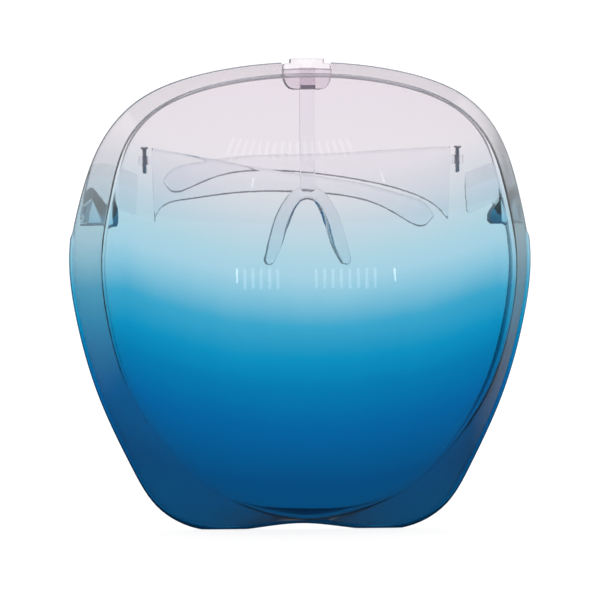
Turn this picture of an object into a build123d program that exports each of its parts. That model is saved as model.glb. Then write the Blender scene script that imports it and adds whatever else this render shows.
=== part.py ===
"""Full-face shield worn like spectacles: a domed shell, a clipped-on nose bridge and two folding temples."""
import os
from math import cos, radians, sin

from build123d import *

# frame: +X to the wearer's left, -Y out of the face, +Z up, origin in the nose saddle.
# Depths are counted back from the front of the dome and heights up from the chin rim.
saddle_depth = 48.0
saddle_height = 136.0

# shell
wall = 2.0
rim_depth = 90.0
rim_centre = 97.0
rim_half_width = 95.0
dome_radius = 130.0
dome_height = 100.0
front_depth = 20.0
corner_radius = 13.0
brow_front = 46.0
brow_top = 198.0
flat_rim_top = 123.0

# rim clip, and the notch that it closes
clip_width = 19.5
clip_top_width = 13.7
clip_bottom = 180.0
clip_top = 193.0
clip_shoulder = 184.5
clip_ledge = 190.5
clip_back = 53.0
notch_front = 41.5

# nose bridge
stem_width = 6.0
stem_thickness = 2.4
stem_top = 188.0
stem_depth = 47.0
slide_gap = 0.2
slot_headroom = 1.5
fork_apex = 141.0
fork_tip = 109.0
fork_front = 44.0
fork_back = 56.0

# hinges
hinge_x = 64.5
hinge_depth = 82.0
hinge_bottom = 146.4
hinge_top = 157.3
knuckle_radius = 2.4
knuckle_bottom = 150.0
knuckle_top = 153.7
web_width = 7.2
hinge_gap = 0.3
screw_radius = 0.8
screw_clearance = 0.05
screw_head_radius = 1.5
screw_head_height = 0.8

# hinge sockets in the side walls
socket_front = 67.0
socket_back = 80.5
socket_floor = 2.0

# temples
temple_thickness = 3.0
temple_root_drop = 30.0
fold_angle = 2.2
left_droop = -0.1
right_droop = 7.1


def across(depth):
    """The upright plane at this depth, drawn in x and height above the chin, facing forward."""
    origin = (0, depth - saddle_depth, -saddle_height)
    return Plane(origin=origin, x_dir=(1, 0, 0), z_dir=(0, -1, 0))


def level(height):
    """The level plane at this height above the chin, centred on the hinge line's depth."""
    return Plane(origin=(0, hinge_depth - saddle_depth, height - saddle_height), z_dir=(0, 0, 1))


# the middle plane, drawn in depth and height above the chin
middle = Plane(origin=(0, -saddle_depth, -saddle_height), x_dir=(0, 1, 0), z_dir=(1, 0, 0))


def outline(depth, widest, upper, lower, scale):
    """Closed left-right symmetric outline, drawn through its right half from crown to chin."""
    def scaled(points):
        return [(x * scale, rim_centre + (h - rim_centre) * scale) for x, h in points]

    with BuildSketch(across(depth)) as sketch:
        with BuildLine():
            Spline(*scaled([*upper, widest]), tangents=[(1, 0), (0, -1)])
            Spline(*scaled([widest, *lower]), tangents=[(0, -1), (-1, 0)])
            mirror(about=middle)
        make_face()
    return sketch.sketch


def front_outline(scale):
    upper = [(0, 182.7), (28, 179.5), (53, 170), (69, 157), (77.5, 136)]
    lower = [(79.5, 88), (70.5, 61), (53, 39), (37, 25.5), (21.5, 15), (0, 6.8)]
    return outline(front_depth, (81.5, 112), upper, lower, scale)


def rear_outline(scale):
    upper = [(0, 203.2), (39.7, 199.4), (70.6, 185.2), (85.2, 162), (91.6, 137.6)]
    lower = [(92, 86), (82.6, 53.5), (69.4, 25), (58.6, 8.6), (45, 0.9), (0, 2.3)]
    return outline(rim_depth, (95, 112), upper, lower, scale)


def bowl(inset):
    """The shell's outside, or with an inset the hollow inside it, closed at the rim plane."""
    scale = 1 - inset / rim_half_width
    with BuildPart() as shape:
        front = front_outline(scale)
        loft([front, rear_outline(scale)], ruled=True)
        add(front)
        extrude(front, amount=front_depth + 1)
        with Locations((0, dome_radius - saddle_depth, dome_height - saddle_height)):
            Sphere(dome_radius - inset, mode=Mode.INTERSECT)
        dome = shape.faces().filter_by(GeomType.SPHERE)[0]
        fillet(dome.edges(), corner_radius - inset)
    return shape.part


outside = bowl(0)
hollow = bowl(wall)

with BuildPart() as shell:
    add(outside)
    add(hollow, mode=Mode.SUBTRACT)
    # the brow and temple edges sweep forward from the flat rim below them
    with BuildSketch(middle):
        with BuildLine():
            brow = Spline((brow_front, brow_top), (52, 190.5), (61, 181), (70, 169), (79, 155), (84.5, 143),
                          (rim_depth, flat_rim_top), tangents=[(0.6, -0.8), (0, -1)])
            clear_back, clear_top = rim_depth + corner_radius, brow_top + corner_radius
            Polyline(brow @ 1, (clear_back, flat_rim_top), (clear_back, clear_top), (brow_front, clear_top),
                     brow @ 0)
        make_face()
    extrude(amount=2 * rim_half_width, both=True, mode=Mode.SUBTRACT)
    # notch for the rim clip
    with BuildSketch(across(clip_back)):
        with Locations((0, clip_top)):
            RectangleRounded(clip_width, 2 * (clip_top - clip_bottom), wall)
    extrude(amount=clip_back - notch_front, mode=Mode.SUBTRACT)

shell.part.label = "shield_shell"


def hinge_socket():
    """Triangular socket inside the left side wall, open at the back."""
    with BuildPart() as socket:
        with BuildSketch(across(socket_back)) as ring:
            with BuildLine():
                FilletPolyline((76.3, 125), (96, 125), (96, 134), (85.5, 141), (76.3, 129.2),
                               radius=1.8, close=True)
            make_face()
        extrude(amount=socket_back - socket_front)
        add(hollow, mode=Mode.INTERSECT)
        with BuildSketch(across(socket_back)):
            with BuildLine():
                Polyline((80.9, 128.4), (88.2, 128.4), (88.2, 132.6), (85.4, 135.6), close=True)
            make_face()
        extrude(amount=socket_back - socket_front - socket_floor, mode=Mode.SUBTRACT)
    return socket.part


def hinge_bracket():
    """Clear end piece: a plate with a tongue that fills the socket and two ears for the temple."""
    back = hinge_depth + temple_thickness / 2
    with BuildPart() as bracket:
        with BuildSketch(across(back)):
            with BuildLine():
                Polyline((68.5, 129.6), (79, 134), (79.2, 131.2), (80.5, 129), (96, 129), (96, 150.5),
                         (67.6, 151.5), (67.6, 130), close=True)
            make_face()
            with Locations((hinge_x, (hinge_bottom + hinge_top) / 2)):
                Rectangle(web_width, hinge_top - hinge_bottom, align=(Align.MIN, Align.CENTER))
        extrude(amount=temple_thickness)
        with BuildSketch(level(hinge_bottom)):
            with Locations((hinge_x, 0)):
                Circle(knuckle_radius)
        extrude(amount=hinge_top - hinge_bottom)
        # gap between the ears, where the temple's knuckle turns
        reach = knuckle_radius + hinge_gap
        with BuildSketch(level(knuckle_bottom - hinge_gap)):
            with Locations((hinge_x, 0)):
                Circle(reach)
                Rectangle(2 * reach, 2 * reach, align=(Align.MAX, Align.CENTER))
        extrude(amount=knuckle_top - knuckle_bottom + 2 * hinge_gap, mode=Mode.SUBTRACT)
        # bore for the screw, with a seat for its head
        with BuildSketch(level(hinge_bottom)):
            with Locations((hinge_x, 0)):
                Circle(screw_radius)
        extrude(amount=hinge_top - hinge_bottom, mode=Mode.SUBTRACT)
        with BuildSketch(level(hinge_top)):
            with Locations((hinge_x, 0)):
                Circle(screw_head_radius)
        extrude(amount=-screw_head_height, mode=Mode.SUBTRACT)
        # tongue
        with BuildSketch(across(socket_back)):
            with BuildLine():
                Polyline((81.1, 128.6), (88, 128.6), (88, 132.5), (85.4, 135.3), close=True)
            make_face()
        extrude(amount=socket_back - socket_front - socket_floor - hinge_gap)
        add(hollow, mode=Mode.INTERSECT)
    return bracket.part


with BuildPart() as socket_left:
    add(hinge_socket())

with BuildPart() as socket_right:
    mirror(socket_left.part, about=Plane.YZ)

with BuildPart() as bracket_left:
    add(hinge_bracket())

with BuildPart() as bracket_right:
    mirror(bracket_left.part, about=Plane.YZ)

with BuildPart() as screws:
    for side in (-1, 1):
        with BuildSketch(level(hinge_bottom)):
            with Locations((side * hinge_x, 0)):
                Circle(screw_radius)
        extrude(amount=hinge_top - hinge_bottom)
        with BuildSketch(level(hinge_top - screw_head_height)):
            with Locations((side * hinge_x, 0)):
                Circle(screw_head_radius)
        extrude(amount=screw_head_height)

socket_left.part.label = "hinge_socket_left"
socket_right.part.label = "hinge_socket_right"
bracket_left.part.label = "hinge_bracket_left"
bracket_right.part.label = "hinge_bracket_right"
screws.part.label = "hinge_screws"


def temple(side, droop, fold):
    """Temple folded across the back, hinged on this side; it droops and leans away from straight across."""
    lean = radians(fold)
    hinge = (side * hinge_x, hinge_depth - saddle_depth, hinge_top - saddle_height)
    along = (-side * cos(lean), sin(lean), 0)
    normal = Vector(*along).cross(Vector(0, 0, 1))
    upright = Plane(origin=hinge, x_dir=along, z_dir=normal)
    drooping = Plane(origin=hinge, x_dir=Vector(*along).rotate(Axis(hinge, normal), -droop), z_dir=normal)
    start = knuckle_radius + 2 * hinge_gap
    root = start + 1 + temple_root_drop * sin(radians(droop))
    with BuildPart() as arm:
        with BuildSketch(drooping):
            with BuildLine():
                top = Spline((start, -0.2), (30, -1.6), (60, -3.2), (90, -4), (108, -7.2), (120.5, -13.5))
                tip = ThreePointArc(top @ 1, (120.5, -18), (112, -17))
                bottom = Spline(tip @ 1, (98, -11.6), (80, -10.2), (60, -11.3), (40, -14.2), (20, -19.3),
                                (9, -25), (root, -temple_root_drop))
                Line(bottom @ 1, top @ 0)
            make_face()
        extrude(amount=temple_thickness / 2, both=True)
        # neck and knuckle
        with BuildSketch(upright):
            with Locations((0, (knuckle_bottom + knuckle_top) / 2 - hinge_top)):
                Rectangle(start + 3, knuckle_top - knuckle_bottom, align=(Align.MIN, Align.CENTER))
        extrude(amount=temple_thickness / 2, both=True)
        with BuildSketch(level(knuckle_bottom)):
            with Locations((side * hinge_x, 0)):
                Circle(knuckle_radius)
        extrude(amount=knuckle_top - knuckle_bottom)
        with BuildSketch(level(knuckle_bottom)):
            with Locations((side * hinge_x, 0)):
                Circle(screw_radius + screw_clearance)
        extrude(amount=knuckle_top - knuckle_bottom, mode=Mode.SUBTRACT)
    return arm.part


with BuildPart() as temple_left:
    add(temple(1, left_droop, fold_angle))

with BuildPart() as temple_right:
    add(temple(-1, right_droop, -fold_angle))

temple_left.part.label = "temple_left"
temple_right.part.label = "temple_right"

# rim clip: a tapered block in the notch, with a blind slot from below for the stem
with BuildPart() as clip:
    with BuildSketch(across(clip_back)):
        with BuildLine():
            half = clip_width / 2
            top_half = clip_top_width / 2
            FilletPolyline((-half, clip_shoulder - 1), (half, clip_shoulder - 1), (half, clip_ledge),
                           (top_half, clip_ledge), (top_half, clip_top), (-top_half, clip_top),
                           (-top_half, clip_ledge), (-half, clip_ledge), radius=0.8, close=True)
        make_face()
        with BuildLine():
            Polyline((-7.5, clip_bottom), (7.5, clip_bottom), (9, clip_shoulder), (-9, clip_shoulder),
                     close=True)
        make_face()
    extrude(amount=clip_back - notch_front)
    with BuildSketch(Plane.XY.offset(clip_bottom - saddle_height)):
        with Locations((0, stem_depth - saddle_depth)):
            Rectangle(stem_width + 2 * slide_gap, stem_thickness + 2 * slide_gap)
    extrude(amount=stem_top + slot_headroom - clip_bottom, mode=Mode.SUBTRACT)

clip.part.label = "rim_clip"

# nose bridge: a flat stem over an inverted V of two deep blades
with BuildPart() as bridge:
    with BuildSketch(across(stem_depth + stem_thickness / 2)):
        with BuildLine():
            Polyline((-stem_width / 2, fork_apex - 3), (stem_width / 2, fork_apex - 3),
                     (stem_width / 2, stem_top), (-stem_width / 2, stem_top), close=True)
        make_face()
    extrude(amount=stem_thickness)
    with BuildSketch(across(fork_back)):
        with BuildLine():
            outer = Spline((0, fork_apex), (7.5, 136.5), (14, 126), (16.2, 117), (18, fork_tip),
                           tangents=[(1, 0), (0.3, -1)])
            foot = Line(outer @ 1, (14.6, fork_tip))
            inner = Spline(foot @ 1, (10.8, 119), (9, 126), (6, 132.8), (0, 136),
                           tangents=[(-0.4, 1), (-1, 0)])
            Line(inner @ 1, outer @ 0)
        make_face()
        mirror(about=middle)
    extrude(amount=fork_back - fork_front)
    # the blades are shallow under the stem and deepen towards their feet
    with BuildSketch(middle):
        with BuildLine():
            Polyline((fork_front, 108), (fork_back, 108), (54.5, 122), (51.5, 134), (49.5, 141), (49.5, 190),
                     (fork_front, 190), close=True)
        make_face()
    extrude(amount=30, both=True, mode=Mode.INTERSECT)

bridge.part.label = "nose_bridge"

os.makedirs("parts", exist_ok=True)
for piece in (shell, socket_left, socket_right, bracket_left, bracket_right, screws,
              temple_left, temple_right, clip, bridge):
    export_step(piece.part, f"parts/{piece.part.label}.step")
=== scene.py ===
from math import cos, pi, radians, sin

import bmesh
import bpy
import numpy as np
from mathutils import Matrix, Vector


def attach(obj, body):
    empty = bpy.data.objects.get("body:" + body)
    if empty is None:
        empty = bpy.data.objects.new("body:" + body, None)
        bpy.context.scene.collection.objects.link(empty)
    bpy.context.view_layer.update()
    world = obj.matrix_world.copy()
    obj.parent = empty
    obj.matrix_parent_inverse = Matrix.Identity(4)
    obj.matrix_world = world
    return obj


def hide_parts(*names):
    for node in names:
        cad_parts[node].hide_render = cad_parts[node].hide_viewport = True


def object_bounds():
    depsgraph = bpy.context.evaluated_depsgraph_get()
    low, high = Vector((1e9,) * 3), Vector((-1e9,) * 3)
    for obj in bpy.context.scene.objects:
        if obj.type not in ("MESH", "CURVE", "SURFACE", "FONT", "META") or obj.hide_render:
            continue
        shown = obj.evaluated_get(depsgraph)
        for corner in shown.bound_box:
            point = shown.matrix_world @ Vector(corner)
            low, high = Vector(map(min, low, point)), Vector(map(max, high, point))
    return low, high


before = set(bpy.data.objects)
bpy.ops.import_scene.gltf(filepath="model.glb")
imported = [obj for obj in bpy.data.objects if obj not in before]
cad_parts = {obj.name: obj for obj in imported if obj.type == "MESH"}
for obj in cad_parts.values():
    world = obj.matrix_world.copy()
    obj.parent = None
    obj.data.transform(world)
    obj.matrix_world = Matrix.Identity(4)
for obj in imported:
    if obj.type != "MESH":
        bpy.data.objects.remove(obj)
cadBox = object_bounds()

mm = 0.001
chinHeight = 136.0   # the nose saddle, the frame's origin, is this high above the chin rim
domeDepth = 48.0     # and this far behind the front of the dome
print("frame loaded:", len(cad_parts), "nodes")


def place(x, depth, height):
    # millimetres across, back from the dome's front and up from the chin, to the frame's metres
    x, depth, height = np.broadcast_arrays(x, depth, height)
    return np.stack([x, depth - domeDepth, height - chinHeight], axis=-1) * mm


def splineThrough(points, count, closed=False):
    # cubic spline by chord length: the second derivatives solve one linear system,
    # with natural ends, or joined ones on a closed outline
    points = np.asarray(points, float)
    if closed:
        points = np.vstack([points, points[:1]])
    knots = np.concatenate([[0], np.cumsum(np.linalg.norm(np.diff(points, axis=0), axis=1))])
    step = np.diff(knots)
    slope = np.diff(points, axis=0) / step[:, None]
    size = len(points)
    system = np.zeros((size, size))
    right = np.zeros((size, points.shape[1]))
    inner = np.arange(1, size - 1)
    system[inner, inner - 1] = step[:-1]
    system[inner, inner] = 2 * (step[:-1] + step[1:])
    system[inner, inner + 1] = step[1:]
    right[inner] = 6 * (slope[1:] - slope[:-1])
    if closed:
        system[0, [0, 1, -2]] = 2 * (step[0] + step[-1]), step[0], step[-1]
        right[0] = 6 * (slope[0] - slope[-1])
        system[-1, 0], system[-1, -1] = 1, -1
    else:
        system[0, 0] = system[-1, -1] = 1
    bend = np.linalg.solve(system, right)
    at = np.linspace(0, knots[-1], count, endpoint=not closed)
    i = np.clip(np.searchsorted(knots, at, side="right") - 1, 0, size - 2)
    a = ((knots[i + 1] - at) / step[i])[:, None]
    b = 1 - a
    curve = (a ** 3 - a) * bend[i] + (b ** 3 - b) * bend[i + 1]
    return a * points[i] + b * points[i + 1] + curve * (step[i] ** 2)[:, None] / 6


def smoothStep(low, high, value):
    # three times the square less twice the cube of the share of the way from low to high
    t = np.clip((value - low) / (high - low), 0, 1)
    return t * t * (3 - 2 * t)


def meshObject(name, points, faces, smooth=True):
    mesh = bpy.data.meshes.new(name)
    mesh.from_pydata(np.asarray(points, float).reshape(-1, 3), [], faces)
    mesh.polygons.foreach_set("use_smooth", [smooth] * len(mesh.polygons))
    mesh.update()
    piece = bpy.data.objects.new(name, mesh)
    bpy.context.collection.objects.link(piece)
    return piece


def gridFaces(rows, columns):
    # quads between neighbouring rows of a grid whose columns close on themselves
    row, column = np.meshgrid(np.arange(rows - 1), np.arange(columns), indexing="ij")
    right = (column + 1) % columns
    quads = np.stack([row * columns + column, row * columns + right,
                      (row + 1) * columns + right, (row + 1) * columns + column], axis=-1)
    return quads.reshape(-1, 4).tolist()


def fan(ring, pole, flip=False):
    # triangles from a ring of vertex numbers to one pole
    following = np.roll(ring, -1)
    sides = (following, ring) if flip else (ring, following)
    return np.stack([*sides, np.full(len(ring), pole)], axis=-1).tolist()


def closedTube(name, grid, poles=None):
    # a grid of closed rings, ended by two poles, or else by the middles of its first and last ring
    rows, columns = grid.shape[:2]
    poles = [grid[0].mean(0), grid[-1].mean(0)] if poles is None else poles
    points = np.vstack([grid.reshape(-1, 3), *poles])
    count = rows * columns
    faces = gridFaces(rows, columns)
    faces += fan(np.arange(columns), count, flip=True)
    faces += fan(np.arange(count - columns, count), count + 1)
    return meshObject(name, points, faces)


def outwards(piece):
    # recalculated normals, for closed meshes only
    work = bmesh.new()
    work.from_mesh(piece.data)
    bmesh.ops.recalc_face_normals(work, faces=work.faces)
    work.to_mesh(piece.data)
    work.free()
    return piece


def applied(piece):
    # the piece's modifiers made real
    graph = bpy.context.evaluated_depsgraph_get()
    mesh = bpy.data.meshes.new_from_object(piece.evaluated_get(graph))
    piece.modifiers.clear()
    piece.data = mesh
    return piece


def rounded(piece, width, segments=3, angle=30):
    bevel = piece.modifiers.new("edges", "BEVEL")
    bevel.width = width * mm
    bevel.segments = segments
    bevel.limit_method = "ANGLE"
    bevel.angle_limit = radians(angle)
    return applied(piece)


def crisp(piece, angle=35):
    # flat faces stay flat beside their rounded edges: normals are weighted by face area
    piece.data.set_sharp_from_angle(angle=radians(angle))
    weigh = piece.modifiers.new("weigh", "WEIGHTED_NORMAL")
    weigh.weight = 100
    weigh.keep_sharp = True
    return applied(piece)


def combined(piece, operation, *solids):
    for solid in solids:
        boolean = piece.modifiers.new("boolean", "BOOLEAN")
        boolean.operation = operation
        boolean.solver = "EXACT"
        boolean.object = solid
    return applied(piece)


def fused(piece, *solids):
    # one closed solid, so that no wall is left inside the clear plastic
    combined(piece, "UNION", *solids)
    for solid in solids:
        bpy.data.objects.remove(solid)
    return piece


def cut(piece, tool):
    combined(piece, "DIFFERENCE", tool)
    bpy.data.objects.remove(tool)
    return piece


def loft(name, *rings):
    # flat outlines of the same count, joined by quads and closed by a flat cap at either end
    count = len(rings[0])
    last = (len(rings) - 1) * count
    caps = [list(range(count))[::-1], list(range(last, last + count))]
    faces = gridFaces(len(rings), count) + caps
    return outwards(meshObject(name, np.vstack(rings), faces, smooth=False))


def plate(name, outline, front, back):
    # an upright prism: an outline in x and height, carried from one depth to another
    x, height = np.transpose(outline)
    return loft(name, place(x, front, height), place(x, back, height))


def post(name, x, depth, low, high, radius, count=48):
    # an upright cylinder: the radius times the turn's cosine across and its sine back
    angle = np.linspace(0, 2 * pi, count, endpoint=False)
    x, depth = x + radius * np.cos(angle), depth + radius * np.sin(angle)
    return loft(name, place(x, depth, low), place(x, depth, high))


def sectionRing(halfWide, halfTall, radius, steps=5):
    # rounded rectangles, one for each station: the corner centres plus a quarter circle at each
    quarter = np.array([0, pi / 2, pi, 3 * pi / 2])
    turn = np.concatenate([np.linspace(first, first + pi / 2, steps) for first in quarter])
    middle = np.repeat(quarter + pi / 4, steps)
    radius = np.minimum(radius, np.minimum(halfWide, halfTall) * 0.98)[:, None]
    wide = np.sign(np.cos(middle)) * (halfWide[:, None] - radius) + radius * np.cos(turn)
    tall = np.sign(np.sin(middle)) * (halfTall[:, None] - radius) + radius * np.sin(turn)
    return wide, tall


def bar(name, centres, wideWay, tallWay, halfWide, halfTall, radius):
    # a rounded rectangle carried along a path of stations
    wide, tall = sectionRing(halfWide, halfTall, radius)
    offset = wide[..., None] * wideWay[:, None] + tall[..., None] * tallWay[:, None]
    return outwards(closedTube(name, centres[:, None] + offset))


class Value:
    # a number socket that does arithmetic by adding Math nodes
    def __init__(self, material, socket):
        self.material, self.socket = material, socket

    def math(self, operation, *others, clamp=False):
        values = dict(enumerate((self, *others)))
        settings = {"operation": operation, "use_clamp": clamp}
        return self.material.node("ShaderNodeMath", settings, values)

    def clamped(self):
        return self.math("ADD", 0.0, clamp=True)

    def __add__(self, other):
        return self.math("ADD", other)

    def __mul__(self, other):
        return self.math("MULTIPLY", other)

    def __sub__(self, other):
        return self.math("SUBTRACT", other)

    def __rsub__(self, other):
        return self.material.node("ShaderNodeMath", {"operation": "SUBTRACT"}, {0: other, 1: self})

    __radd__ = __add__
    __rmul__ = __mul__


class Material:
    # a Principled material whose other nodes are added by one method
    def __init__(self, name, **constants):
        self.data = bpy.data.materials.new(name)
        self.data.use_nodes = True
        self.tree = self.data.node_tree
        self.shader = self.tree.nodes["Principled BSDF"]
        for key, value in constants.items():
            self.shader.inputs[key.replace("_", " ")].default_value = value

    def node(self, kind, settings=None, sockets=None, output=0):
        node = self.tree.nodes.new(kind)
        for key, value in (settings or {}).items():
            if key == "stops":
                ramp = node.color_ramp.elements
                while len(ramp) < len(value):
                    ramp.new(0.5)
                for element, (position, colour) in zip(ramp, value):
                    element.position = position
                    element.color = (*colour, 1)
            else:
                setattr(node, key, value)
        for key, value in (sockets or {}).items():
            self.feed(node.inputs[key], value)
        return Value(self, node.outputs[output])

    def feed(self, socket, value):
        if isinstance(value, Value):
            self.tree.links.new(value.socket, socket)
        else:
            socket.default_value = value

    def set(self, socket, value):
        self.feed(self.shader.inputs[socket], value)


def linear(red, green, blue):
    # a screen colour of 0 to 255 as linear light
    value = np.array([red, green, blue]) / 255
    light = np.where(value <= 0.04045, value / 12.92, ((value + 0.055) / 1.055) ** 2.4)
    return tuple(light.tolist())


shell = {
    "wall": 2.0,
    "domeRadius": 130.0,
    "centreHeight": 100.0,
    "frontDepth": 20.0,
    "rimDepth": 90.0,
    "middleDepth": 60.0,
    # half outlines, x and height from crown to chin, at frontDepth and at rimDepth
    "frontHalf": [(0, 182.7), (28, 179.5), (53, 170), (69, 157), (77.5, 136), (81.5, 112),
                  (79.5, 88), (70.5, 61), (53, 39), (37, 25.5), (21.5, 15), (0, 6.8)],
    "rearHalf": [(0, 203.2), (39.7, 199.4), (70.6, 185.2), (85.2, 162), (91.6, 137.6), (95, 112),
                 (92, 86), (82.6, 53.5), (69.4, 25), (58.6, 8.6), (45, 0.9), (0, 2.3)],
    # where the wall is cut off at the brow, depth and height
    "browEdge": [(46, 198), (52, 190.5), (61, 181), (70, 169), (79, 155), (84.5, 143), (90, 123)],
    # corner radius by angle from the crown, degrees
    "corner": [(0, 5), (40, 6), (75, 15), (110, 24), (135, 34), (155, 32), (180, 18)],
    "notchHalf": 9.75,
    "notchDepth": 41.5,
    "notchSide": (-0.1, 0.3),    # the notch's side runs between these, beyond its half width
    "notchFlare": 4.0,           # the wall's radius at the notch, less its radius at the corner
    "notchTurn": 0.17,           # radians either side of the crown where slices stand close
    "slices": (193, 250),        # radial slices near the notch, and round the rest
    "rows": (46, 15, 20, 10),    # of the dome, the corner, the wall and the wall's last tenth
    "lip": 0.8,
    "lipBelow": 123.0,
    "lipFade": 3.0,
    "lipReach": (1.2, 2.6),      # full height as far as the first from the rim, gone at the second
    "rimRound": 0.45,            # the rim's bulge as a share of half the wall
}


def polarRadius(half, angle):
    # the outline's distance from the dome's axis at each angle from the crown
    mirrored = half + [(-x, h) for x, h in half[-2:0:-1]]
    curve = splineThrough(mirrored, 4000, closed=True)
    across, up = curve[:, 0], curve[:, 1] - shell["centreHeight"]
    turn = np.arctan2(across, up)
    order = np.argsort(turn)
    return np.interp(angle, turn[order], np.hypot(across, up)[order], period=2 * pi)


def shellGrid():
    # each radial slice is a dome arc, a corner arc tangent to it, and a straight flared wall;
    # the point is the slice's radius times the sine of its angle across, and times the cosine up
    notchTurn, (nearSlices, otherSlices) = shell["notchTurn"], shell["slices"]
    domeRows, cornerRows, wallRows, rimRows = shell["rows"]
    nearCrown = np.linspace(-notchTurn, notchTurn, nearSlices)
    around = np.linspace(notchTurn, 2 * pi - notchTurn, otherSlices)[1:-1]
    angle = np.concatenate([nearCrown, around])
    front = polarRadius(shell["frontHalf"], angle)
    rear = polarRadius(shell["rearHalf"], angle)
    flare = (rear - front) / (shell["rimDepth"] - shell["frontDepth"])
    away = np.degrees(np.abs((angle + pi) % (2 * pi) - pi))
    corner = np.interp(away, *np.transpose(shell["corner"]))
    radius = shell["domeRadius"]
    # wall line and its inward normal, in the slice's own radius and depth
    long = np.hypot(flare, 1)
    wallWay = np.stack([flare / long, 1 / long])
    inward = np.stack([-1 / long, flare / long])
    start = np.stack([front, np.full_like(front, shell["frontDepth"])]) + inward * corner
    # the corner's centre lies on the wall line moved inwards, this far from the dome's centre
    fromCentre = start - np.array([[0], [radius]])
    half = (fromCentre * wallWay).sum(0)
    rest = (fromCentre ** 2).sum(0) - (radius - corner) ** 2
    centre = start + wallWay * (-half - np.sqrt(half ** 2 - rest))
    domeEnd = np.arctan2(centre[0], radius - centre[1])
    wallTurn = np.arctan2(1, flare)
    arc = domeEnd * np.linspace(0, 1, domeRows)[1:, None]
    dome = np.stack([radius * np.sin(arc), radius - radius * np.cos(arc)])
    bend = domeEnd + (wallTurn - domeEnd) * np.linspace(0, 1, cornerRows)[1:, None]
    turned = centre[:, None] + corner * np.stack([np.sin(bend), -np.cos(bend)])
    wallStart = turned[:, -1]
    # the rim: the depth where the wall meets the brow edge, found by repeated halving
    edge = splineThrough(shell["browEdge"], 400)
    low, high = wallStart[1].copy(), np.full_like(front, shell["rimDepth"])
    for _ in range(40):
        depth = (low + high) / 2
        reach = front + flare * (depth - shell["frontDepth"])
        height = shell["centreHeight"] + reach * np.cos(angle)
        inFront = depth < np.interp(-height, -edge[:, 1], edge[:, 0])
        low, high = np.where(inFront, depth, low), np.where(inFront, high, depth)
    # the notch: near the crown the rim comes forward to the notch's depth
    beyond = np.abs((wallStart[0] + shell["notchFlare"]) * np.sin(angle)) - shell["notchHalf"]
    inNotch = (1 - smoothStep(*shell["notchSide"], beyond)) * (np.cos(angle) > 0)
    rim = low + (np.minimum(low, shell["notchDepth"]) - low) * inNotch
    share = np.concatenate([np.linspace(0, 0.9, wallRows)[1:], np.linspace(0.92, 1, rimRows)])
    wallDepth = wallStart[1] + (rim - wallStart[1]) * share[:, None]
    wallRadius = front + flare * (wallDepth - shell["frontDepth"])
    wall = np.stack([wallRadius, wallDepth])
    outward, depth = np.concatenate([dome, turned, wall], axis=1)
    height = shell["centreHeight"] + outward * np.cos(angle)
    return np.stack([outward * np.sin(angle), depth, height], axis=-1)


def gridNormals(points):
    # cross product of the differences along and around the shell's grid, turned outwards
    around = np.roll(points, -1, axis=1) - np.roll(points, 1, axis=1)
    normal = np.cross(around, np.gradient(points, axis=0))
    normal /= np.linalg.norm(normal, axis=-1, keepdims=True)
    outward = points - np.array([0, shell["middleDepth"], shell["centreHeight"]])
    return normal * np.sign((normal * outward).sum(-1).mean())


def closedShell(name, skin, *poleDepths):
    # a skin in millimetres as a closed mesh, with a pole on the dome's axis at either end
    poles = [place(0, depth, shell["centreHeight"]) for depth in poleDepths]
    return outwards(closedTube(name, place(*np.moveaxis(skin, -1, 0)), poles))


def buildShell():
    # the outer grid, the inner one a wall's thickness along the normals, and a rim between them
    outer = shellGrid()
    normal = gridNormals(outer)
    # a small raised lip along the flat part of the rim
    gap = np.linalg.norm(outer - outer[-1:], axis=-1)
    aboveLip = outer[-1, :, 2] - shell["lipBelow"]
    lip = 1 - smoothStep(*shell["lipReach"], gap)
    lip = lip * (1 - smoothStep(-shell["lipFade"], 0, aboveLip))
    inner = outer - normal * shell["wall"]
    outer = outer + normal * (shell["lip"] * lip)[..., None]
    # the rim is a flat half ellipse, from the outer skin to the inner one
    along = outer[-1] - outer[-3]
    along /= np.linalg.norm(along, axis=-1, keepdims=True)
    middle, halfWall = (outer[-1] + inner[-1]) / 2, (outer[-1] - inner[-1]) / 2
    bulge = along * np.linalg.norm(halfWall, axis=-1, keepdims=True) * shell["rimRound"]
    turn = np.linspace(0, pi, 9)[1:-1, None, None]
    rim = middle - bulge + halfWall * np.cos(turn) + bulge * np.sin(turn)
    return closedShell("shieldShell", np.concatenate([outer, rim, inner[::-1]]), 0, shell["wall"])


polycarbonate = {
    "ior": 1.58,
    "clear": (252, 252, 254),
    "blush": (240, 233, 238),
    "waveHeight": 0.9,
    "grainHeight": 0.06,
    "grainFineness": 14,           # times as fine as the waves
    "bumpDistance": 0.001,
    "cellScale": (1.0, 0.3, 0.22),
    "cellTurn": (0.0, 0.5, 0.0),
    "seamSharpness": 60,
    "patches": 30.0,
    "patchContrast": 4,
    "patchStart": 2.1,
    "roughness": (0.015, 0.03, 0.1),   # of the polish, what patches add, and what hairlines add
}

tint = {
    # clear at the brow, sky blue from the nose down, deep blue at the chin:
    # heights and what one wall lets through
    "stops": [
        (4, (4, 76, 122)), (20, (4, 76, 128)), (44, (3, 99, 160)), (60, (4, 122, 174)),
        (71, (12, 143, 189)), (84, (58, 162, 199)), (96, (131, 192, 215)), (104, (160, 204, 222)),
        (112, (170, 207, 221)), (124, (190, 210, 221)), (136, (214, 217, 225)),
        (148, (230, 225, 231)), (190, (232, 222, 230)),
    ],
    "sag": 2.8,            # metres down for each square metre of distance across
    "sagEnd": 0.0056,      # square metres, past which the level lines run level
    "cloudHeight": 5.82,   # millimetres that the dye line wavers by
    "streakHeight": 2.328,
    "runScale": (1.0, 1.0, 0.12),
}


def noise(material, position, scale, detail):
    values = {"Vector": position, "Scale": scale, "Detail": detail}
    return material.node("ShaderNodeTexNoise", None, values)


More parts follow.
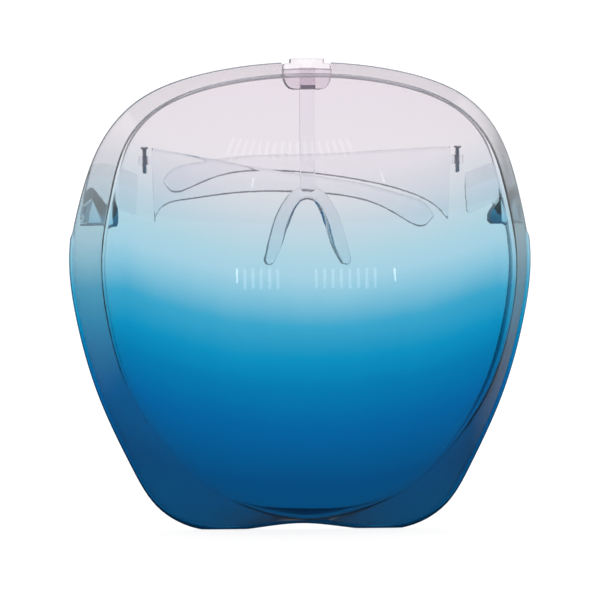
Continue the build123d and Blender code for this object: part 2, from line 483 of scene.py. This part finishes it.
def stretched(material, position, scale, turn=(0.0, 0.0, 0.0)):
    values = {"Vector": position, "Scale": scale, "Rotation": turn}
    return material.node("ShaderNodeMapping", None, values)


def axis(material, position, letter):
    return material.node("ShaderNodeSeparateXYZ", None, {0: position}, output=letter)


def colourByHeight(material, up, stops):
    # a ramp from its first height to its last, of the frame's height in metres
    low, high = stops[0][0], stops[-1][0]
    share = (up + (chinHeight - low) * mm) * (1 / ((high - low) * mm))
    ramp = [((height - low) / (high - low), linear(*colour)) for height, colour in stops]
    return material.node("ShaderNodeValToRGB", {"stops": ramp}, {0: share})


def mouldedMaterial(name, fineness, strength, scratches):
    # clear glossy plastic. Moulding shows as slow waves with a fine grain over them, which tilt
    # the surface a little. Wiping leaves hairlines: the thin seams between stretched cells are,
    # in patches, rougher than the polish
    plastic = polycarbonate
    material = Material(name, IOR=plastic["ior"], Transmission_Weight=1.0)
    position = material.node("ShaderNodeTexCoord", output="Object")
    waves = noise(material, position, fineness, 1.5)
    grain = noise(material, position, fineness * plastic["grainFineness"], 3.0)
    height = waves * plastic["waveHeight"] + grain * plastic["grainHeight"]
    bump = {"Strength": strength, "Distance": plastic["bumpDistance"], "Height": height}
    material.set("Normal", material.node("ShaderNodeBump", None, bump))
    cellSpace = stretched(material, position, plastic["cellScale"], plastic["cellTurn"])
    cells = material.node("ShaderNodeTexVoronoi", {"feature": "DISTANCE_TO_EDGE"},
                          {"Vector": cellSpace, "Scale": scratches})
    patches = noise(material, position, plastic["patches"], 3.0)
    worn = (patches * plastic["patchContrast"] - plastic["patchStart"]).clamped()
    seam = (1 - cells * plastic["seamSharpness"]).clamped() * worn
    polish, patchGain, seamGain = plastic["roughness"]
    material.set("Roughness", seam * seamGain + patches * patchGain + polish)
    return material, position


def tintMaterial():
    # the tint follows height; its level lines sag in a parabola between the side walls and
    # waver where the dye ran
    material, position = mouldedMaterial("tintedPolycarbonate", 24.0, 0.12, 260.0)
    cloud = noise(material, position, 16.0, 2.0)
    streak = noise(material, stretched(material, position, tint["runScale"]), 90.0, 3.0)
    across = axis(material, position, "X")
    sagged = (across * across).math("MINIMUM", tint["sagEnd"]) * tint["sag"]
    waver = (cloud - 0.5) * (tint["cloudHeight"] * mm)
    waver = waver + (streak - 0.5) * (tint["streakHeight"] * mm)
    height = axis(material, position, "Z") - sagged + waver
    material.set("Base Color", colourByHeight(material, height, tint["stops"]))
    return material


def clearMaterial(name, colour):
    material, position = mouldedMaterial(name, 60.0, 0.1, 420.0)
    material.set("Base Color", (*linear(*colour), 1))
    return material


def screwMaterial():
    # fine turning marks, each a thin level ring, break the gloss
    material = Material("turnedSteel", Metallic=0.35)
    position = material.node("ShaderNodeTexCoord", output="Object")
    marks = noise(material, stretched(material, position, (0.05, 0.05, 1.0)), 9000.0, 2.0)
    stain = noise(material, position, 700.0, 3.0)
    material.set("Roughness", marks * 0.2 + 0.3)
    steel = [(0.3, (0.76, 0.76, 0.77)), (0.7, (0.9, 0.9, 0.91))]
    material.set("Base Color", material.node("ShaderNodeValToRGB", {"stops": steel}, {0: stain}))
    return material


def socketMaterial():
    # the limbs are seen along their depth, so their dye looks several times deeper than in the
    # thin floor, which is where the height lies below the recess's two slopes and above its foot
    material, position = mouldedMaterial("deepTintedPolycarbonate", 60.0, 0.1, 420.0)
    across, up = axis(material, position, "X"), axis(material, position, "Z")
    limb = colourByHeight(material, up, sockets["tint"])
    floor = colourByHeight(material, up, sockets["floorTint"])
    (nearX, footZ), _, (farX, farZ), (peakX, peakZ) = sockets["recess"]
    past = across.math("ABSOLUTE") - peakX * mm
    below = (peakZ - chinHeight) * mm - up
    innerSlope, outerSlope = (peakZ - footZ) / (peakX - nearX), (peakZ - farZ) / (farX - peakX)
    margins = [past * innerSlope + below, past * (-outerSlope) + below,
               up - (footZ - chinHeight) * mm]
    sharpness = 1 / (sockets["tintBlur"] * mm)
    first, second, third = [(margin * sharpness).clamped() for margin in margins]
    inside = first * second * third
    mix = material.node("ShaderNodeMix", {"data_type": "RGBA"},
                        {0: inside, 6: limb, 7: floor}, output=2)
    material.set("Base Color", mix)
    return material


def finish(piece, material, body, slot, *nodes):
    piece.data.materials.clear()
    piece.data.materials.append(material.data)
    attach(piece, body)
    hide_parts(*nodes)
    print("made", piece.name, len(piece.data.polygons), "faces")


hinge = {
    "x": 64.5,
    "depth": 82.0,
    "low": 146.4,
    "high": 157.3,
    "radius": 2.4,
    "knuckleLow": 150.0,
    "knuckleHigh": 153.7,
    "gap": 0.3,
    "screw": 0.8,
    "screwFit": 0.02,
    "turningFit": 0.05,
}

sockets = {
    "front": 67.0,
    "back": 80.5,
    "floor": 2.0,
    "outline": [(76.6, 126.2), (77.8, 125.1), (96, 125), (96, 130), (92, 134.6), (85.9, 140.7),
                (85.1, 140.7), (77.4, 130.9), (76.5, 128.9)],
    "recess": [(80.9, 126.0), (91.5, 126.0), (91.5, 130.4), (85.4, 136.2)],
    "edge": 0.35,
    "tint": [(125, (0, 74, 110)), (128, (8, 104, 138)), (133, (66, 148, 176)),
             (141, (132, 176, 196))],
    "floorTint": [(125, (176, 226, 242)), (130, (214, 240, 250)), (141, (238, 248, 252))],
    "tintBlur": 0.5,
}

sideWord = {1: "Left", -1: "Right"}


def hollowSolid():
    # the space inside the shell, a hair smaller, closed across the rim
    outer = shellGrid()
    inset = shell["wall"] + 0.02
    inner = outer - gridNormals(outer) * inset
    return closedShell("hollow", inner, inset, shell["rimDepth"])


def sidePlate(name, outline, side, front, back):
    # a plate for one side: the left one as it is drawn, the right one mirrored
    return plate(name, [(side * x, height) for x, height in outline], front, back)


def buildSocket(side, hollow):
    # a tinted block with a recess open to the back, trimmed to the inside of the shell
    body = sidePlate("hingeSocket" + sideWord[side], sockets["outline"], side,
                     sockets["front"], sockets["back"])
    cut(body, sidePlate("recess", sockets["recess"], side,
                        sockets["front"] + sockets["floor"], sockets["back"] + 1))
    return crisp(rounded(combined(body, "INTERSECT", hollow), sockets["edge"]))


screw = {
    "headRadius": 1.5,
    "headHeight": 0.8,
    "headRim": 0.25,
    "chamfer": 0.2,
    "slotWidth": 0.35,
    "slotDepth": 0.45,
    "pole": 0.05,
}

bracket = {
    "thickness": 3.0,
    "outline": [(68.3, 130.2), (69.3, 129.6), (74, 131.6), (79, 134), (79.4, 131), (80.6, 129),
                (96, 129), (96, 149.8), (80, 150.4), (71.7, 151.7), (71.7, 157.3), (67.6, 157.3),
                (67.6, 140)],
    "tongue": [(81.3, 126.3), (91.2, 126.3), (91.2, 130.2), (85.4, 135.7)],
    "tongueGap": 0.3,
    "webEnd": 69,
    "webInset": 0.1,
    "edge": 0.35,
}


def rectangle(left, right, low, high):
    return [(left, low), (right, low), (right, high), (left, high)]


def hingePost(name, side, low, high, radius):
    return post(name, side * hinge["x"], hinge["depth"], low, high, radius)


def buildBracket(side, hollow):
    # a plate with a tongue in its socket and a web to two ears, trimmed to the inside of the shell
    depth, low, high, gap = [hinge[key] for key in ("depth", "low", "high", "gap")]
    half = bracket["thickness"] / 2
    thin = half - bracket["webInset"]
    body = sidePlate("hingeBracket" + sideWord[side], bracket["outline"], side,
                     depth - half, depth + half)
    tongue = sidePlate("tongue", bracket["tongue"], side,
                       sockets["front"] + sockets["floor"] + bracket["tongueGap"], depth)
    web = sidePlate("web", rectangle(hinge["x"], bracket["webEnd"], low, high), side,
                    depth - thin, depth + thin)
    fused(body, tongue, web, hingePost("ears", side, low, high, hinge["radius"]))
    cut(body, hingePost("turningSpace", side, hinge["knuckleLow"] - gap, hinge["knuckleHigh"] + gap,
                        hinge["radius"] + gap))
    cut(body, hingePost("bore", side, low - 1, high + 1, hinge["screw"] + hinge["screwFit"]))
    cut(body, hingePost("headSeat", side, high - screw["headHeight"], high + 1,
                        screw["headRadius"] + hinge["screwFit"]))
    return crisp(rounded(combined(body, "INTERSECT", hollow), bracket["edge"]))


def screwProfile():
    # radius and height up one side: chamfered end, shank, underside and rounded rim of the head
    shank, top, fit = hinge["screw"], hinge["high"], hinge["screwFit"]
    foot, seat = hinge["low"] + fit, top - screw["headHeight"]
    head, bend, chamfer = screw["headRadius"], screw["headRim"], screw["chamfer"]
    turn = np.linspace(0, pi / 2, 6)
    rim = np.stack([head - bend + bend * np.cos(turn), top - bend + bend * np.sin(turn)], axis=-1)
    start = [(screw["pole"], foot), (shank - chamfer, foot), (shank, foot + chamfer),
             (shank, seat), (head, seat + fit)]
    return np.vstack([start, rim, [(screw["pole"], top)]])


def buildScrews():
    # the profile spun about each hinge axis, with a straight slot across the head
    radius, height = np.hsplit(screwProfile(), 2)
    angle = np.linspace(0, 2 * pi, 48, endpoint=False)
    half, low = screw["slotWidth"] / 2, hinge["high"] - screw["slotDepth"]
    screws = []
    for side in (1, -1):
        x, depth = side * hinge["x"], hinge["depth"]
        grid = place(x + radius * np.cos(angle), depth + radius * np.sin(angle), height)
        slot = rectangle(x - half, x + half, low, hinge["high"] + 1)
        screws.append(cut(outwards(closedTube("hingeScrews", grid)),
                          plate("slot", slot, depth - 3, depth + 3)))
    return fused(*screws)


temples = {
    "start": 3.0,
    # edge lines as distance from the hinge and height over its top
    "topEdge": [(3.0, -0.2), (30, -1.6), (60, -3.2), (90, -4), (108, -6.6), (117.6, -9.4),
                (121.6, -13.6)],
    "lowEdge": [(9, -25), (20, -19.3), (40, -14.2), (60, -11.3), (80, -10.2), (98, -12.2),
                (110, -17), (117.6, -18.6), (121.6, -13.6)],
    "rootDrop": 30.0,
    "stations": 110,
    "crowding": 1.6,       # stations stand closer towards the tip
    "halfRoot": 1.5,
    "halfTip": 1.25,
    "tipTaper": [0.97, 0.9, 0.78, 0.55],
    "edge": 1.3,
    "rootEdge": 0.5,
    "neckStart": 0.3,
    "neckReach": 3.0,
    "neckInset": 0.1,
    "fold": 2.2,
    "droop": {1: -0.1, -1: 7.1},
}


def buildTemple(side):
    # stations run from the hinge to the tip; each spans from the upper edge line to the lower one
    droop, lean = radians(temples["droop"][side]), radians(side * temples["fold"])
    along = np.array([-side * cos(lean), sin(lean), 0])
    up = np.array([0, 0, 1.0])
    way, rise = along * cos(droop) - up * sin(droop), up * cos(droop) + along * sin(droop)
    normal = np.cross(along, up)
    # the lower corner at the root moves out so that the end stands upright on a drooping temple
    drop = temples["rootDrop"]
    root = (temples["start"] + 1 + drop * sin(droop), -drop - hinge["gap"])
    share = 1 - (1 - np.linspace(0, 1, temples["stations"])[:-1]) ** temples["crowding"]
    dense = np.linspace(0, 1, 600)
    lines = [splineThrough(edge, 600).T
             for edge in (temples["topEdge"], [root] + temples["lowEdge"])]
    top, low = [np.stack([np.interp(share, dense, values) for values in line], -1)
                for line in lines]
    origin = place(side * hinge["x"], hinge["depth"], hinge["high"])
    middle = (top + low) / 2
    centres = origin + (middle[:, :1] * way + middle[:, 1:] * rise) * mm
    span = top - low
    halfTall = np.linalg.norm(span, axis=-1) / 2 * mm
    halfWide = np.linspace(temples["halfRoot"], temples["halfTip"], len(centres)) * mm
    halfWide[-len(temples["tipTaper"]):] *= temples["tipTaper"]
    tallWay = span[:, :1] * way + span[:, 1:] * rise
    tallWay /= np.linalg.norm(tallWay, axis=-1, keepdims=True)
    # soft edge at the hinge end: a quarter circle of shrinking sections
    turn = np.linspace(0, pi / 2, 5)[:-1]
    ahead, inset = [temples["rootEdge"] * mm * (1 - wave(turn)) for wave in (np.cos, np.sin)]
    firstWay = centres[1] - centres[0]
    firstWay /= np.linalg.norm(firstWay)
    centres = np.vstack([centres[0] + ahead[:, None] * firstWay, centres[1:]])
    halfTall = np.concatenate([halfTall[0] - inset, halfTall[1:]])
    halfWide = np.concatenate([halfWide[0] - inset, halfWide[1:]])
    tallWay = np.vstack([np.repeat(tallWay[:1], len(turn), axis=0), tallWay[1:]])
    wideWay = np.broadcast_to(normal, tallWay.shape)
    arm = bar("temple" + sideWord[side], centres, wideWay, tallWay, halfWide, halfTall,
              temples["edge"] * mm)
    # neck and knuckle
    low, high = hinge["knuckleLow"], hinge["knuckleHigh"]
    neckEnd = temples["start"] + temples["neckReach"]
    neck = np.array(rectangle(temples["neckStart"], neckEnd, low, high))
    middle = origin + (neck[:, :1] * along + (neck[:, 1:] - hinge["high"]) * up) * mm
    half = (temples["halfRoot"] - temples["neckInset"]) * normal * mm
    fused(arm, loft("neck", middle - half, middle + half),
          hingePost("knuckle", side, low, high, hinge["radius"]))
    cut(arm, hingePost("bore", side, low - 1, high + 1, hinge["screw"] + hinge["turningFit"]))
    return crisp(arm)


clip = {
    "front": 41.5,
    "back": 53.0,
    "half": [(5.4, 180), (7.0, 180.4), (8.2, 181.4), (9.1, 183), (9.6, 185), (9.7, 187),
             (9.7, 190.4), (9.3, 191), (6.85, 191.1), (6.85, 193)],
    "edge": 0.4,
    "grooves": [185.2, 186.6],
    "grooveHalf": 6.6,
    "grooveSize": 0.5,
    "slotHalf": 3.2,
    "slotLow": 179,
    "slotHeadroom": 1.5,
    "slotGap": 0.2,
    "mouth": (179.6, 182.4),
    "mouthReach": 2.6,
}


def buildClip():
    # a tapered block with a top plate, two shallow grooves across its front and a blind slot
    outline = clip["half"] + [(-x, h) for x, h in clip["half"][::-1]]
    body = rounded(plate("rimClip", outline, clip["front"], clip["back"]), clip["edge"])
    stemHalf = bridge["stemThickness"] / 2 + clip["slotGap"]
    half = clip["slotHalf"]
    slot = rectangle(-half, half, clip["slotLow"], bridge["stemTop"] + clip["slotHeadroom"])
    cut(body, plate("slot", slot, bridge["stemDepth"] - stemHalf, bridge["stemDepth"] + stemHalf))
    # a keyhole mouth where the stem comes out: its sloped floor throws the light aside
    (low, high), front, inner = clip["mouth"], clip["front"], half - clip["slotGap"]
    depth, height = [front - 1, front - 1, front + clip["mouthReach"]], [low - 1, high, low]
    cut(body, loft("mouth", place(-inner, depth, height), place(inner, depth, height)))
    size, across = clip["grooveSize"], clip["grooveHalf"]
    for height in clip["grooves"]:
        groove = rectangle(-across, across, height, height + size)
        cut(body, plate("groove", groove, front - 1, front + size))
    return crisp(body)


bridge = {
    "stemWidth": 6.0,
    "stemThickness": 2.4,
    "stemTop": 188.0,
    "stemDepth": 47.0,
    "frontEdge": [(108, 44), (130, 44.3), (137, 45.6), (141, 45.8)],
    "path": [(0, 138.5), (3.8, 137.6), (7.6, 133.6), (11.0, 126.5), (13.1, 118.5), (16.2, 109.2)],
    "halfTall": [(0, 2.5), (0.25, 2.3), (0.5, 2.4), (0.75, 2.6), (1, 1.8)],
    "backEdge": [(108, 56.1), (122, 54.4), (132, 51.6), (138, 48.4), (141, 48.2)],
    "innerLean": [(0, 0.6), (0.2, 1.2), (0.45, 1.8), (0.7, 1.0), (1, 0)],
    "edge": 0.9,
    "stemEdge": 0.45,
    "footRound": 3.5,      # stations over which the feet round off
    "marks": [177.0, 165.6],
    "markRadius": 0.9,
    "markDepth": 0.2,
}


def buildBridge():
    # the fork is one bar carried from foot to foot over the apex, deepest at its feet
    half = splineThrough(bridge["path"], 60)
    path = np.vstack([half[:0:-1] * [-1, 1], half])
    share = np.abs(np.linspace(-1, 1, len(path)))
    halfTall = np.interp(share, *np.transpose(bridge["halfTall"]))
    back = np.interp(path[:, 1], *np.transpose(bridge["backEdge"]))
    front = np.interp(path[:, 1], *np.transpose(bridge["frontEdge"]))
    way = np.gradient(path, axis=0)
    way /= np.linalg.norm(way, axis=-1, keepdims=True)
    zero = np.zeros(len(path))
    tallWay = np.stack([-way[:, 1], zero, way[:, 0]], axis=-1)
    wideWay = np.stack([zero, zero + 1, zero], axis=-1)
    halfWide = (back - front) / 2
    # round the feet over their last stretch
    toEnd = np.minimum(np.arange(len(path)), np.arange(len(path))[::-1])
    fromFull = 1 - np.clip(toEnd / bridge["footRound"], 0, 1)
    soften = np.sqrt(np.clip(1 - fromFull ** 2, 0.06, 1))
    centres = place(path[:, 0], front + halfWide, path[:, 1])
    # the inner side stands further in towards the back, most of all on the upper legs
    softWide = halfWide * (0.75 + 0.25 * soften)
    wide, tall = sectionRing(softWide, halfTall * soften, bridge["edge"])
    lean = np.interp(share, *np.transpose(bridge["innerLean"]))[:, None]
    backward = (1 + wide / halfWide[:, None]) / 2
    tall = tall - lean * backward * np.clip(-tall / halfTall[:, None], 0, 1)
    offset = wide[..., None] * wideWay[:, None] + tall[..., None] * tallWay[:, None]
    fork = outwards(closedTube("noseBridge", centres[:, None] + offset * mm))
    # the stem rises from inside the apex, and its last section is a little smaller
    top = bridge["stemTop"]
    upright = place(0, bridge["stemDepth"], np.array([137.6, 138, 150, 170, 187, top - 0.3, top]))
    size = np.array([1, 1, 1, 1, 1, 1, 0.85]) * mm
    ways = [np.tile(direction, (len(size), 1)) for direction in ([0, 1.0, 0], [1.0, 0, 0])]
    fused(fork, bar("stem", upright, *ways, bridge["stemThickness"] / 2 * size,
                    bridge["stemWidth"] / 2 * size, bridge["stemEdge"] * mm))
    # moulded pin marks on the stem's front
    face, radius = bridge["stemDepth"] - bridge["stemThickness"] / 2, bridge["markRadius"]
    angle = np.linspace(0, 2 * pi, 24, endpoint=False)
    for height in bridge["marks"]:
        dimple = np.stack([radius * np.cos(angle), height + radius * np.sin(angle)], axis=-1)
        cut(fork, plate("mark", dimple, face - 1, face + bridge["markDepth"]))
    return crisp(fork)


tintedPlastic = tintMaterial()
deepTint = socketMaterial()
clearPlastic = clearMaterial("clearPolycarbonate", polycarbonate["clear"])
clipPlastic = clearMaterial("blushPolycarbonate", polycarbonate["blush"])
screwSteel = screwMaterial()

finish(buildShell(), tintedPlastic, "shield", "tinted_shell", "shield_shell")
hollow = hollowSolid()
for side, word in ((1, "left"), (-1, "right")):
    socket, ears, arm = buildSocket(side, hollow), buildBracket(side, hollow), buildTemple(side)
    finish(socket, deepTint, "shield", "tinted_socket", "hinge_socket_" + word)
    finish(ears, clearPlastic, "shield", "clear_plastic", "hinge_bracket_" + word)
    finish(arm, clearPlastic, word + "_arm", "clear_plastic", "temple_" + word)
bpy.data.objects.remove(hollow)
finish(buildScrews(), screwSteel, "shield", "screw_metal", "hinge_screws")
finish(buildClip(), clipPlastic, "shield", "clear_plastic", "rim_clip")
finish(buildBridge(), clearPlastic, "nose_piece", "clear_plastic", "nose_bridge")


stageSet = {
    "floorRadius": 4.0,
    "wallHeight": 2.2,
    "bend": 1.0,
    "floorRows": 8,
    "sides": 96,
    "floorColour": (0.3, 0.3, 0.3, 1),
    "floorGlow": 0.9,
    "shadeRadius": 3.4,
    "clothGlow": 0.95,
    "cloth": [(0.0, (0.0, 0.0, 0.0)), (1.0, (0.6, 0.6, 0.6))],
}


def buildStage():
    # a round white bowl: flat floor, quarter-round bend and upright wall, spun about the middle
    low, flat, bend = cadBox[0][2], stageSet["floorRadius"], stageSet["bend"]
    rows, sides = stageSet["floorRows"], stageSet["sides"]
    turn = np.linspace(0, pi / 2, 12)[1:]
    radius = np.concatenate([np.linspace(0.01, flat, rows), flat + bend * np.sin(turn)])
    radius = np.append(radius, flat + bend)
    height = np.concatenate([np.zeros(rows), bend * (1 - np.cos(turn)), [stageSet["wallHeight"]]])
    angle = np.linspace(0, 2 * pi, sides, endpoint=False)
    radius, height = radius[:, None], height[:, None] + low
    grid = np.stack(np.broadcast_arrays(radius * np.cos(angle), radius * np.sin(angle), height), -1)
    points = np.vstack([grid.reshape(-1, 3), [[0, 0, low]]])
    faces = gridFaces(len(grid), sides) + fan(np.arange(sides), len(points) - 1, flip=True)
    floor = meshObject("floor", points, faces)
    material = Material("paleFloor", Roughness=0.9, Emission_Strength=stageSet["floorGlow"])
    material.set("Base Color", stageSet["floorColour"])
    material.set("Emission Color", (1, 1, 1, 1))
    floor.data.materials.append(material.data)
    floor.visible_glossy = False


def buildShade():
    # a sphere, by longitude and latitude, that only the gloss mirrors: a dark room in front, past
    # the lights, and a white cloth behind the object
    angle = np.linspace(0, 2 * pi, 48, endpoint=False)
    rise = np.linspace(-pi / 2 + 0.02, pi / 2 - 0.02, 25)[:, None]
    x, y = np.cos(rise) * np.cos(angle), np.cos(rise) * np.sin(angle)
    grid = np.stack(np.broadcast_arrays(x, y, np.sin(rise)), -1)
    shade = closedTube("studioShade", grid * stageSet["shadeRadius"])
    material = Material("studioCloth", Roughness=1.0, Emission_Strength=stageSet["clothGlow"])
    material.set("Base Color", (0.02, 0.02, 0.02, 1))
    position = material.node("ShaderNodeTexCoord", output="Object")
    behind = (axis(material, position, "Y") * 1.2 - 0.3).clamped()
    above = (axis(material, position, "Z") * 0.45 + 0.34).clamped()
    cloth = material.node("ShaderNodeValToRGB", {"stops": stageSet["cloth"]}, {0: behind * above})
    material.set("Emission Color", cloth)
    shade.data.materials.append(material.data)
    shade.visible_camera = shade.visible_diffuse = shade.visible_transmission = False
    shade.visible_shadow = shade.visible_volume_scatter = False


def softbox(name, azimuth, elevation, distance, size, power):
    # a rectangular light that faces a point just below the nose saddle
    light = bpy.data.lights.new(name, "AREA")
    light.shape = "RECTANGLE"
    light.size, light.size_y = size
    light.energy = power
    lamp = bpy.data.objects.new(name, light)
    turn, rise = radians(azimuth), radians(elevation)
    lamp.location = (distance * cos(rise) * sin(turn), -distance * cos(rise) * cos(turn),
                     distance * sin(rise) - 0.04)
    lamp.rotation_euler = (pi / 2 - rise, 0, turn)
    lamp.visible_camera = False
    lamp.visible_transmission = False
    bpy.context.collection.objects.link(lamp)


view = {
    "azimuth": -4.0,
    "elevation": 1.0,
    "roll": 0.3,
    "distance": 2.64,
    "frameWidth": 0.2484,   # metres across the frame at the rim
    "height": 94.0,
    "sensor": 36,
}


def buildCamera():
    # aimed at the middle of the rear rim
    camera = bpy.data.objects.new("camera", bpy.data.cameras.new("camera"))
    camera.data.sensor_width = view["sensor"]
    camera.data.lens = view["sensor"] * view["distance"] / view["frameWidth"]
    turn, rise, roll = [radians(view[key]) for key in ("azimuth", "elevation", "roll")]
    rim = (shell["rimDepth"] - domeDepth) * mm
    level = view["distance"] * cos(rise)
    camera.location = (level * sin(turn), rim - level * cos(turn),
                       (view["height"] - chinHeight) * mm + view["distance"] * sin(rise))
    camera.rotation_euler = (pi / 2 - rise, roll, turn)
    camera.data.clip_start, camera.data.clip_end = 0.01, 20
    bpy.context.collection.objects.link(camera)
    bpy.context.scene.camera = camera


buildStage()
buildShade()
windows = {
    # rows of upright strips, like daylight through blinds:
    # azimuths, elevation, strip width and height, power
    "upperBlind": (np.linspace(-38, 26, 17), 51, (0.026, 0.2), 0.018),
    "frontBlindLeft": (np.linspace(-22, -10, 5), 3, (0.026, 0.2), 0.03),
    "frontBlindRight": (np.linspace(4, 26, 8), 3, (0.026, 0.2), 0.03),
    "lowGlint": ([-25, 33.5], 4, (0.02, 0.13), 0.05),
    "highGlint": ([-22, 36], 38, (0.02, 0.1), 0.02),
}
windowDistance = 1.6
for name, (azimuths, elevation, size, power) in windows.items():
    for number, azimuth in enumerate(azimuths):
        softbox(f"{name}{number}", azimuth, elevation, windowDistance, size, power)
buildCamera()
print("stage, lights and camera placed")

world = bpy.data.worlds.new("studio")
world.use_nodes = True
world.node_tree.nodes["Background"].inputs[0].default_value = (0.35, 0.35, 0.36, 1)
bpy.context.scene.world = world
scene = bpy.context.scene
scene.view_settings.view_transform = "Standard"
# light is led a long way inside the clear walls
scene.cycles.max_bounces = scene.cycles.transmission_bounces = 32
scene.cycles.glossy_bounces = 20
